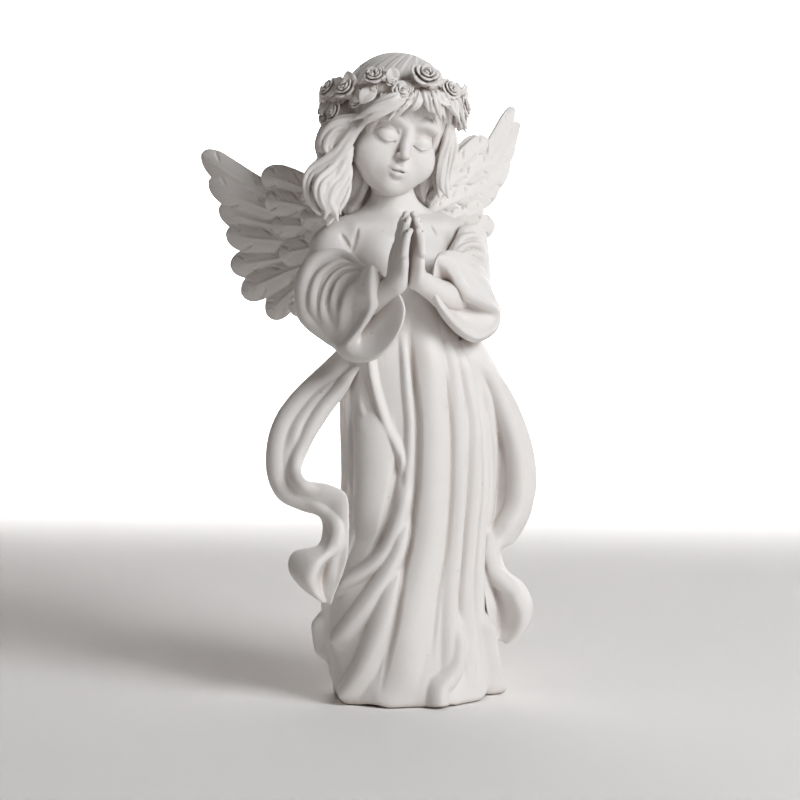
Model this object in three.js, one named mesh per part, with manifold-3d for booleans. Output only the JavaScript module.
// A praying angel figurine in cast resin, 300 mm tall: a hollow gown casting closed by a plug and a felt
// pad, with the head, flower wreath, sleeves, hands, wings and mantle ends cast separately and bonded to it.
// Millimetres, +Z up. The figure faces -Y and its right side is on -X. The origin is on the pad's underside.
import * as THREE from "three";
import { mergeVertices } from "three/addons/utils/BufferGeometryUtils.js";
import Module from "manifold-3d";

const wasm = await Module();
wasm.setup();

// Driving dimensions
const GAP = 0.3; // bond line between neighbouring castings
const WALL = 4.6; // wall of the hollow gown casting
const HEM_HEIGHT = 0.5; // the hem clears the surface that the felt pad rests on
const PAD_THICKNESS = 2;
const PLUG_THICKNESS = 6;
const NECK_TOP = 233;
const CAVITY_TOP = 212;
const SOCKET_TOP = 9; // top of the straight-sided socket that the plug and the pad sit in
const SOCKET_CLEARANCE = 0.4;
const DOWEL_RADIUS = 1.5;
const HEAD_CENTRE = new THREE.Vector3(-5.5, 3, 270.5);
const HEAD_TILT = new THREE.Euler(0.13, 0.25, 0.03);
const WREATH_CENTRE = new THREE.Vector3(-6, 3, 275.5);
const WREATH_TILT = new THREE.Euler(-0.27, 0.08, 0);
const WREATH_RADII = [28, 29.5];

const resin = new THREE.MeshStandardMaterial({ color: 0xe4e0dd, roughness: 0.55, metalness: 0 });
const steel = new THREE.MeshStandardMaterial({ color: 0x9a9a9c, roughness: 0.35, metalness: 1 });
const felt = new THREE.MeshStandardMaterial({ color: 0xd9d6d0, roughness: 0.95, metalness: 0 });

const vector = (point) => new THREE.Vector3(...point);

// Booleans

function solid(geometry) {
  const bare = new THREE.BufferGeometry().setAttribute("position", geometry.getAttribute("position"));
  if (geometry.index) bare.setIndex(geometry.index);
  const merged = mergeVertices(bare, 1e-3);
  const made = new wasm.Manifold(
    new wasm.Mesh({
      numProp: 3,
      vertProperties: new Float32Array(merged.attributes.position.array),
      triVerts: new Uint32Array(merged.index.array),
    }),
  );
  if (made.volume() <= 0) throw new Error("a solid's faces point inwards");
  return made;
}

const join = (solids) => solids.reduce((whole, next) => whole.add(next));
const cut = (whole, tools) => tools.reduce((left, tool) => left.subtract(tool), whole);
const largest = (whole) => whole.decompose().sort((a, b) => b.volume() - a.volume())[0];

function mesh(name, shape, material) {
  const found = shape.getMesh();
  const points = new Float32Array(found.numVert * 3);
  for (let i = 0; i < found.numVert; i++) {
    const start = i * found.numProp;
    points.set(found.vertProperties.subarray(start, start + 3), i * 3);
  }
  const geometry = new THREE.BufferGeometry();
  geometry.setAttribute("position", new THREE.BufferAttribute(points, 3));
  geometry.setIndex(new THREE.BufferAttribute(new Uint32Array(found.triVerts), 1));
  geometry.computeVertexNormals();
  const made = new THREE.Mesh(geometry, material);
  made.name = name;
  return made;
}

// Shapes that every casting is made from

// A table of rows [parameter, ...values], read anywhere between its first and last parameter.
function table(rows) {
  const values = rows.flatMap((row) => row.slice(1));
  const curve = new THREE.CubicInterpolant(rows.map((row) => row[0]), values, rows[0].length - 1);
  return (at) => [...curve.evaluate(at)];
}

// A closed surface of revolution with each ring's points placed by place(angle, row).
function turned(rows, segments, place) {
  const profile = rows.map((row, j) => new THREE.Vector2(row.onAxis ? 0 : 1, j));
  const geometry = new THREE.LatheGeometry(profile, segments);
  const position = geometry.attributes.position;
  for (let k = 0; k < position.count; k++) {
    const step = Math.floor(k / rows.length) % segments;
    const point = place((step / segments) * 2 * Math.PI, rows[k % rows.length]);
    position.setXYZ(k, ...point);
  }
  return solid(geometry);
}

function ellipsoid(centre, radii, rotation = new THREE.Euler(), detail = [12, 8]) {
  const geometry = new THREE.SphereGeometry(1, ...detail);
  geometry.scale(...radii);
  geometry.applyMatrix4(new THREE.Matrix4().makeRotationFromEuler(rotation));
  geometry.translate(centre.x, centre.y, centre.z);
  return solid(geometry);
}

// A round limb from one point to another, with a ball on each end.
function limb(start, end, startRadius, endRadius, sides = 10) {
  const along = end.clone().sub(start);
  const geometry = new THREE.CylinderGeometry(endRadius, startRadius, along.length(), sides, 1);
  geometry.applyQuaternion(
    new THREE.Quaternion().setFromUnitVectors(new THREE.Vector3(0, 1, 0), along.clone().normalize()),
  );
  const middle = start.clone().add(end).multiplyScalar(0.5);
  geometry.translate(middle.x, middle.y, middle.z);
  const ball = (centre, radius) => ellipsoid(centre, [radius, radius, radius], undefined, [sides, sides / 2]);
  return join([solid(geometry), ball(start, startRadius), ball(end, endRadius)]);
}

// A lock or a band: a round section swept along a smooth curve.
function tube(points, radius, steps) {
  const section = new THREE.Shape().absarc(0, 0, radius, 0, 2 * Math.PI);
  const path = new THREE.CatmullRomCurve3(points);
  return solid(new THREE.ExtrudeGeometry(section, { steps, curveSegments: 4, extrudePath: path }));
}

// Gown: bodice, chest, shoulders and skirt in one hollow casting

// height, centre x, centre y, half width, half depth, fold depth
const gownSection = table([
  [HEM_HEIGHT, 3, 0, 38.5, 31, 1.2],
  [8, 1.5, -1, 41, 32, 2.2],
  [24, -0.5, -1, 41.5, 32, 2.6],
  [48, -0.5, -1, 40.5, 30.5, 2.6],
  [75, 3, 0, 35.5, 28, 2.2],
  [100, 4, 0, 34.5, 26, 1.8],
  [125, 3, 0, 34, 24.5, 1.4],
  [150, 0, 0, 31, 22, 1],
  [172, -4, 0, 28.5, 19.5, 0.5],
  [192, -6, 0, 30, 19, 0.2],
  [206, -6.5, 1, 36, 18.5, 0],
  [214, -6.5, 2, 37, 17, 0],
  [221, -6, 3, 27, 14.5, 0],
  [226, -6, 3, 13.5, 12.5, 0],
  [NECK_TOP, -6, 2, 10.5, 10.5, 0],
]);
const FOLDS_AROUND = 11;
const FOLD_TWIST = 0.006;
const GOWN_SEGMENTS = 44;

// A point of the gown's surface, moved outwards by grow.
function onGown(angle, height, grow, folded = true) {
  const [x, y, width, depth, fold] = gownSection(height);
  const wave = folded ? fold * Math.cos(FOLDS_AROUND * angle + FOLD_TWIST * height * FOLDS_AROUND) : -fold;
  return [
    x + (width + wave + grow) * Math.cos(angle),
    y + (depth + wave + grow) * Math.sin(angle),
    height,
  ];
}

function gownShape(grow, hollow) {
  const heights = [HEM_HEIGHT, 8, 24, 42, 60, 80, 100, 120, 140, 160, 178, 194];
  heights.push(206, 213, 218, 221.5, 225, 229, NECK_TOP);
  const outer = heights.map((height) => ({ height, grow }));
  const top = { height: NECK_TOP + grow, onAxis: true };
  const inner = [204, 165, 120, 70, 30, SOCKET_TOP, HEM_HEIGHT].map((height) => ({ height, inside: true }));
  const floor = [{ height: HEM_HEIGHT - grow, onAxis: true }];
  const start = hollow ? [{ height: CAVITY_TOP, onAxis: true }, ...inner] : floor;
  return turned([...start, ...outer, top], GOWN_SEGMENTS, (angle, row) => {
    if (row.onAxis) return [gownSection(NECK_TOP)[0], gownSection(NECK_TOP)[1], row.height];
    if (!row.inside) return onGown(angle, row.height, row.grow);
    const [x, y] = onGown(angle, row.height > SOCKET_TOP ? row.height : HEM_HEIGHT, -WALL, false);
    return [x, y, row.height];
  });
}

// An elliptical disc that fits inside the gown's socket.
function socketDisc(from, thickness) {
  const [x, y, width, depth, fold] = gownSection(HEM_HEIGHT);
  const inset = WALL + fold + SOCKET_CLEARANCE;
  const outline = new THREE.Shape().absellipse(x, y, width - inset, depth - inset, 0, 2 * Math.PI);
  const geometry = new THREE.ExtrudeGeometry(outline, {
    depth: thickness,
    bevelEnabled: false,
    curveSegments: 14,
  });
  geometry.translate(0, 0, from);
  return solid(geometry);
}

// Sleeves: wide bell sleeves, each a cup whose mouth opens forwards round the forearm

// The cup's rings from the closed shoulder end to the mouth: centre, radius across, radius along the droop.
const sleeveRings = {
  right: {
    centres: [[-38, 4, 205], [-41, -1, 196], [-39, -9, 187], [-32, -19, 181], [-25, -28, 179]],
    radii: [[6, 9], [12, 15], [13.5, 19.5], [13.5, 21], [14, 22]],
    droop: [-0.35, 0.1, 1],
  },
  left: {
    centres: [[27, 4, 207], [31, -1, 199], [31, -9, 192], [26, -18, 187], [20, -26, 186]],
    radii: [[6, 9], [11, 14], [12.5, 18], [13, 20], [14, 20]],
    droop: [0.55, 0.1, 1],
  },
};
const SLEEVE_WALL = 3;
const SLEEVE_SEGMENTS = 18;

function sleeveShape(side, grow, hollow = true) {
  const { centres, radii, droop } = sleeveRings[side];
  const path = new THREE.CatmullRomCurve3(centres.map(vector));
  const size = table(radii.map((pair, k) => [k / (radii.length - 1), ...pair]));
  const outer = [0, 0.12, 0.3, 0.5, 0.7, 0.88, 1].map((at) => ({ at, grow }));
  const inner = [1, 0.85, 0.7, 0.55].map((at) => ({ at, grow: -SLEEVE_WALL }));
  const ends = [{ at: 0, onAxis: true }, { at: hollow ? 0.5 : 1, onAxis: true }];
  const rows = [ends[1], ...(hollow ? inner.reverse() : []), ...outer.reverse(), ends[0]];
  return turned(rows, SLEEVE_SEGMENTS, (angle, row) => {
    const centre = path.getPoint(row.at);
    const tangent = path.getTangent(row.at);
    if (row.onAxis) return centre.addScaledVector(tangent, row.at === 0 ? -4 : 0).toArray();
    const along = vector(droop).projectOnPlane(tangent).normalize();
    const across = new THREE.Vector3().crossVectors(along, tangent);
    const [wide, long] = size(row.at);
    centre.addScaledVector(across, (wide + row.grow) * Math.sin(angle));
    return centre.addScaledVector(along, (long + row.grow) * Math.cos(angle)).toArray();
  });
}

// Hands: each forearm with its open hand, the palms pressed together

const WRIST = { x: -14.5, y: -43, z: 194 };
const PALM_CENTRE_Z = 203;
const FINGER_LENGTHS = [15, 18, 19, 16];
const FINGER_RADIUS = 2.1;
const FINGER_PITCH = 3.3;
const elbows = { right: [-36, -12, 180], left: [26, -12, 184] };

function handShape(side, grow) {
  const outwards = side === "right" ? -1 : 1;
  const palmX = WRIST.x + outwards * 3.4;
  const wrist = new THREE.Vector3(WRIST.x + outwards * 4, WRIST.y, WRIST.z);
  const palm = new THREE.Vector3(palmX, WRIST.y - 1.5, PALM_CENTRE_Z);
  const pieces = [
    limb(vector(elbows[side]), wrist, 7 + grow, 4.6 + grow),
    ellipsoid(palm, [3 + grow, 6.8 + grow, 9.5 + grow], new THREE.Euler(0.12, 0, 0)),
  ];
  FINGER_LENGTHS.forEach((length, k) => {
    const base = new THREE.Vector3(palmX, WRIST.y - 7 + k * FINGER_PITCH, PALM_CENTRE_Z + 6);
    const tip = new THREE.Vector3(palmX - outwards * 1, base.y - 0.5, base.z + length);
    pieces.push(limb(base, tip, FINGER_RADIUS + grow, FINGER_RADIUS - 0.4 + grow, 6));
  });
  const thumb = new THREE.Vector3(palmX, WRIST.y + 4, PALM_CENTRE_Z - 1);
  pieces.push(limb(thumb, thumb.clone().add(vector([0, 1.5, 12])), 2.3 + grow, 1.9 + grow, 6));
  const otherHalf = new THREE.BoxGeometry(40, 60, 80);
  otherHalf.translate(WRIST.x - outwards * (20 - GAP / 2 + grow), WRIST.y, WRIST.z + 15);
  return join(pieces).subtract(solid(otherHalf));
}

// Head: face, hair cap and the locks that hang to the shoulders, on a short neck

const locks = [
  [[-34, 2, 272], [-38, -2, 258], [-37, -4, 246], [-43, -2, 234], [-36, -6, 222]],
  [[-31, -8, 270], [-35, -12, 256], [-33, -13, 244], [-31, -10, 232], [-35, -6, 222]],
  [[-30, 12, 262], [-33, 16, 248], [-30, 18, 234], [-24, 16, 222]],
  [[21, -8, 266], [22, -12, 254], [20, -12, 242], [22, -8, 230], [24, -4, 220]],
  [[23, 3, 268], [27, 2, 254], [24, 2, 240], [27, 4, 226]],
  [[16, 14, 262], [19, 18, 248], [16, 19, 234], [12, 17, 222]],
  [[-6, 24, 262], [-7, 25, 246], [-5, 22, 230], [-7, 19, 222]],
];
const LOCK_RADIUS = 6.4;
const LOCK_STEPS = 6;

function headShape(grow) {
  const tilted = (offset) => vector(offset).applyEuler(HEAD_TILT).add(HEAD_CENTRE);
  const pieces = [
    ellipsoid(HEAD_CENTRE, [27 + grow, 29 + grow, 29.6 + grow], HEAD_TILT, [20, 12]),
    ellipsoid(tilted([0, -7, -11]), [20.5 + grow, 20 + grow, 23 + grow], HEAD_TILT, [16, 10]),
    ellipsoid(tilted([0, -16, -27]), [9 + grow, 9 + grow, 8 + grow], HEAD_TILT),
    limb(tilted([0, -26, -8]), tilted([0, -28, -16]), 1.4 + grow, 2.3 + grow, 6),
    limb(new THREE.Vector3(-6, 2, NECK_TOP + GAP + 10.5), tilted([0, 0, -12]), 10.5 + grow, 12 + grow, 14),
    ...locks.map((points) => tube(points.map(vector), LOCK_RADIUS + grow, LOCK_STEPS)),
  ];
  return join(pieces);
}

// Wreath: a tilted ring of twisted stems round the head, with a rose on it at each step

const wreathPlace = new THREE.Matrix4().makeRotationFromEuler(WREATH_TILT).setPosition(WREATH_CENTRE);
const onWreath = (angle, out = 0, up = 0) =>
  new THREE.Vector3(
    (WREATH_RADII[0] + out) * Math.sin(angle),
    -(WREATH_RADII[1] + out) * Math.cos(angle),
    up,
  ).applyMatrix4(wreathPlace);
const BAND_RADIUS = 3;
const BAND_STEPS = 32;
const BAND_SIDES = 6;

function bandShape(grow) {
  const geometry = new THREE.TorusGeometry(1, 1, BAND_SIDES, BAND_STEPS);
  const position = geometry.attributes.position;
  for (let k = 0; k < position.count; k++) {
    const turn = ((k % (BAND_STEPS + 1)) % BAND_STEPS) / BAND_STEPS;
    const around = Math.floor(k / (BAND_STEPS + 1)) % BAND_SIDES;
    const section = (around / BAND_SIDES) * 2 * Math.PI;
    const radius = BAND_RADIUS + grow;
    const point = onWreath(turn * 2 * Math.PI, radius * Math.cos(section));
    const wreathUp = new THREE.Vector3(0, 0, 1).transformDirection(wreathPlace);
    point.addScaledVector(wreathUp, radius * Math.sin(section));
    position.setXYZ(k, ...point);
  }
  return solid(geometry);
}

// Roses: degrees round the wreath from the front towards the figure's left, radius, height over the band
const roses = [
  [6, 7.3, 4], [31, 5.5, 0.5], [62, 5.2, -2], [95, 4.8, -2], [125, 5, 0], [155, 4.8, 1],
  [185, 5.2, 0], [215, 5, 1], [245, 4.8, 0], [278, 5.3, 3], [301, 5.6, 1], [326, 5.2, 3.5],
];
const ROSE_RISE = 0.35;
const ROSE_RISE_PER_HEIGHT = 0.05;

// A rose: a cupped lathe shape with petal ridges, facing outwards and a little up from the wreath.
function roseShape([degrees, radius, height]) {
  const centre = onWreath(THREE.MathUtils.degToRad(degrees), BAND_RADIUS + radius * 0.35, height);
  const rise = new THREE.Vector3(0, 0, ROSE_RISE + ROSE_RISE_PER_HEIGHT * height);
  const facing = centre.clone().sub(WREATH_CENTRE).normalize().add(rise).normalize();
  // share of the rose's radius, share of its height, petal ripple
  const profile = [
    [0, -0.55, 0],
    [0.45, -0.5, 0],
    [0.85, -0.1, 0.06],
    [1, 0.25, 0.1],
    [0.72, 0.2, 0.05],
    [0.62, 0.5, 0.06],
    [0.4, 0.35, 0.03],
    [0.28, 0.62, 0.03],
    [0, 0.45, 0],
  ];
  const turn = new THREE.Quaternion().setFromUnitVectors(new THREE.Vector3(0, 0, 1), facing);
  const rows = profile.map(([out, up, ripple]) => ({ out, up, ripple, onAxis: out === 0 }));
  return turned(rows, 10, (around, row) => {
    const reach = radius * (row.out + row.ripple * Math.cos(5 * around));
    const local = new THREE.Vector3(reach * Math.cos(around), reach * Math.sin(around), radius * row.up);
    return local.applyQuaternion(turn).add(centre).toArray();
  });
}

// Wings: two layers of overlapping feathers on a fleshy root, swept back and curved

// Feathers in the wing's own plane: start along the span and up, tip along the span and up, width, layer.
const rightFeathers = [
  [12, 12, 80, 38, 15, 0],
  [12, 8, 73, 24, 15, 1],
  [12, 4, 69, 9, 14, 0],
  [12, -1, 63, -3, 14, 1],
  [10, -5, 60, -16, 13, 0],
  [8, -8, 57, -26, 13, 1],
  [6, -8, 43, -38, 13, 0],
  [4, -8, 29, -38, 12, 1],
  [10, 14, 41, 28, 13, 2],
  [8, 8, 42, 15, 13, 3],
  [6, 3, 40, 1, 13, 2],
  [4, -2, 34, -13, 12, 3],
  [2, -6, 24, -23, 11, 2],
];
const leftFeathers = [
  [12, 12, 77, 44, 13, 0],
  [12, 8, 78, 36, 13, 1],
  [12, 5, 74, 27, 13, 0],
  [12, 2, 67, 18, 13, 1],
  [11, -1, 60, 9, 13, 0],
  [9, -4, 55, 1, 13, 1],
  [7, -7, 50, -8, 13, 0],
  [5, -8, 41, -17, 12, 1],
  [10, 15, 45, 32, 12, 2],
  [8, 10, 46, 21, 12, 3],
  [6, 5, 43, 10, 12, 2],
  [4, 0, 36, 0, 12, 3],
  [2, -5, 27, -10, 11, 2],
];
const wings = {
  right: { root: [-18, 19, 215], lift: 0, sweep: 0.5, feathers: rightFeathers },
  left: { root: [12, 19, 217], lift: 0.17, sweep: 0.38, feathers: leftFeathers },
};
const WING_CURVE = 0.0022;
const FEATHER_THICKNESS = 2.8;
const LAYER_STEP = 0.9;

function featherBlade([fromSpan, fromUp, toSpan, toUp, width, layer], grow) {
  const length = Math.hypot(toSpan - fromSpan, toUp - fromUp);
  const half = width / 2 + grow;
  const widest = half * 1.1;
  const shoulder = length - half * 0.6;
  const end = length + grow;
  const outline = new THREE.Shape();
  outline.moveTo(0, -half * 0.55);
  outline.bezierCurveTo(length * 0.5, -widest, length * 0.75, -widest, shoulder, -half * 0.8);
  outline.bezierCurveTo(end, -half * 0.6, end, half * 0.6, shoulder, half * 0.8);
  outline.bezierCurveTo(length * 0.75, widest, length * 0.5, widest, 0, half * 0.55);
  const options = { depth: FEATHER_THICKNESS + 2 * grow, bevelEnabled: false, curveSegments: 3 };
  const geometry = new THREE.ExtrudeGeometry(outline, options);
  geometry.rotateZ(Math.atan2(toUp - fromUp, toSpan - fromSpan));
  geometry.translate(fromSpan, fromUp, layer * LAYER_STEP - grow);
  return solid(geometry);
}

function wingShape(side) {
  const { root, lift, sweep, feathers } = wings[side];
  const rootBlock = ellipsoid(new THREE.Vector3(5, 1, 2.5), [13, 17, 5.5]);
  const flat = join([rootBlock, ...feathers.map((feather) => featherBlade(feather, 0))]);
  // The plane's third direction is the front of the wing. The tip bends back as the span's square.
  const bent = flat.warp((point) => {
    const span = point[0] * Math.cos(lift) - point[1] * Math.sin(lift);
    const up = point[0] * Math.sin(lift) + point[1] * Math.cos(lift);
    const front = point[2] - WING_CURVE * span * span;
    point[0] = span * Math.cos(sweep) + front * Math.sin(sweep);
    point[1] = span * Math.sin(sweep) - front * Math.cos(sweep);
    point[2] = up;
  });
  const handed = side === "left" ? bent : bent.mirror([1, 0, 0]);
  return handed.translate(root);
}

// Mantle ends: a band of cloth on each side that leaves the sleeve, billows and ends in a ruffle

// Each end lies between two edges that are followed from the sleeve down.
const mantles = {
  right: {
    outer: [
      [-28, 6, 163], [-46, 6, 153], [-59, 6, 139], [-66, 6, 122], [-65, 6, 105], [-57, 3, 93],
      [-46, 0, 88], [-43, -4, 80], [-55, -7, 73], [-58, -8, 63], [-44, -6, 50],
    ],
    inner: [
      [-24, -8, 157], [-32, -4, 143], [-41, -2, 132], [-51, 0, 119], [-55, -2, 108], [-50, -5, 103],
      [-40, -8, 99], [-32, -9, 92], [-28, -9, 82], [-29, -9, 70], [-34, -8, 56],
    ],
  },
  left: {
    outer: [
      [26, 4, 170], [44, 6, 157], [56, 6, 140], [65, 6, 120], [66, 6, 98], [61, 4, 79],
      [48, 0, 67], [50, 0, 57], [58, 0, 47], [60, 0, 33], [42, 0, 24],
    ],
    inner: [
      [20, -8, 168], [27, -9, 150], [31, -9, 130], [33, -8, 108], [33, -8, 86], [33, -10, 72],
      [33, -13, 62], [34, -12, 52], [36, -9, 42], [37, -8, 33], [38, -6, 27],
    ],
  },
};
const MANTLE_THICKNESS = 3.4;
const MANTLE_STEPS = 22;
const MANTLE_ACROSS = 3;
const MANTLE_BULGE = 4;

function mantleShape(side, grow) {
  const outer = new THREE.CatmullRomCurve3(mantles[side].outer.map(vector));
  const inner = new THREE.CatmullRomCurve3(mantles[side].inner.map(vector));
  const middle = (across, along) => {
    const point = outer.getPoint(along).lerp(inner.getPoint(along), across);
    return point.add(new THREE.Vector3(0, -MANTLE_BULGE * Math.sin(Math.PI * across), 0));
  };
  const geometry = new THREE.BoxGeometry(1, 1, 1, MANTLE_ACROSS, 1, MANTLE_STEPS);
  const position = geometry.attributes.position;
  const step = 0.01;
  for (let k = 0; k < position.count; k++) {
    const across = position.getX(k) + 0.5;
    const along = position.getZ(k) + 0.5;
    const centre = middle(across, along);
    const nearly = Math.min(along, 1 - step);
    const acrossWay = middle(1, nearly).sub(middle(0, nearly));
    const alongWay = middle(across, nearly + step).sub(middle(across, nearly));
    const normal = new THREE.Vector3().crossVectors(alongWay, acrossWay).normalize();
    centre.addScaledVector(normal, position.getY(k) * (MANTLE_THICKNESS + 2 * grow));
    centre.addScaledVector(acrossWay.normalize(), position.getX(k) * 2 * grow);
    position.setXYZ(k, ...centre);
  }
  return solid(geometry);
}

// Dowels: steel pins in the bond lines

const dowels = {
  neck_dowel: [[-6, 2, 220], [-6, 2, 246]],
  right_wing_dowel_upper: [[-16, 13, 214], [-24, 27, 216]],
  right_wing_dowel_lower: [[-16, 13, 204], [-24, 27, 206]],
  left_wing_dowel_upper: [[5, 13, 214], [13, 27, 218]],
  left_wing_dowel_lower: [[5, 13, 204], [13, 27, 208]],
};

function pin(ends, grow) {
  const [start, end] = ends.map(vector);
  const along = end.clone().sub(start);
  const geometry = new THREE.CylinderGeometry(
    DOWEL_RADIUS + grow, DOWEL_RADIUS + grow, along.length() + 2 * grow, 16,
  );
  geometry.applyQuaternion(
    new THREE.Quaternion().setFromUnitVectors(new THREE.Vector3(0, 1, 0), along.normalize()),
  );
  const middle = start.add(end).multiplyScalar(0.5);
  geometry.translate(middle.x, middle.y, middle.z);
  return solid(geometry);
}

// Assembly: each casting is cut back from those it is bonded to, leaving the bond line

const figurine = new THREE.Group();
const addPiece = (name, shape, material = resin) => figurine.add(mesh(name, largest(shape), material));
const pinHoles = Object.values(dowels).map((ends) => pin(ends, GAP));

const gownTool = gownShape(GAP, false);
addPiece("gown_shell", cut(gownShape(0, true), pinHoles));
addPiece("felt_pad", socketDisc(0, PAD_THICKNESS), felt);
addPiece("base_plug", socketDisc(PAD_THICKNESS + GAP, PLUG_THICKNESS));

const headTool = headShape(GAP);
const head = cut(headShape(0), [gownTool, ...pinHoles]);
addPiece("head", head);
const bandTool = bandShape(GAP);
addPiece("wreath_band", cut(bandShape(0), [headTool]));
roses.forEach((rose, index) => {
  const name = "rose_" + String(index + 1).padStart(2, "0");
  addPiece(name, cut(roseShape(rose), [headTool, bandTool]));
});

const otherSide = { right: "left", left: "right" };
const sides = ["right", "left"];
const handTools = Object.fromEntries(sides.map((side) => [side, handShape(side, GAP)]));
for (const side of sides) {
  const bodyTools = [gownTool, headTool];
  const sleeveTools = [handTools[side], handTools[otherSide[side]]];
  const sleeveTool = sleeveShape(side, GAP);
  addPiece(side + "_hand", cut(handShape(side, 0), bodyTools));
  addPiece(side + "_sleeve", cut(sleeveShape(side, 0), [...bodyTools, ...sleeveTools]));
  addPiece(side + "_mantle", cut(mantleShape(side, 0), [gownTool, sleeveTool, handTools[side]]));
  const wingTools = [sleeveTool, mantleShape(side, GAP), ...pinHoles];
  addPiece(side + "_wing", cut(wingShape(side), [...bodyTools, ...wingTools]));
}

for (const [name, ends] of Object.entries(dowels)) addPiece(name, pin(ends, 0), steel);

export default figurine;
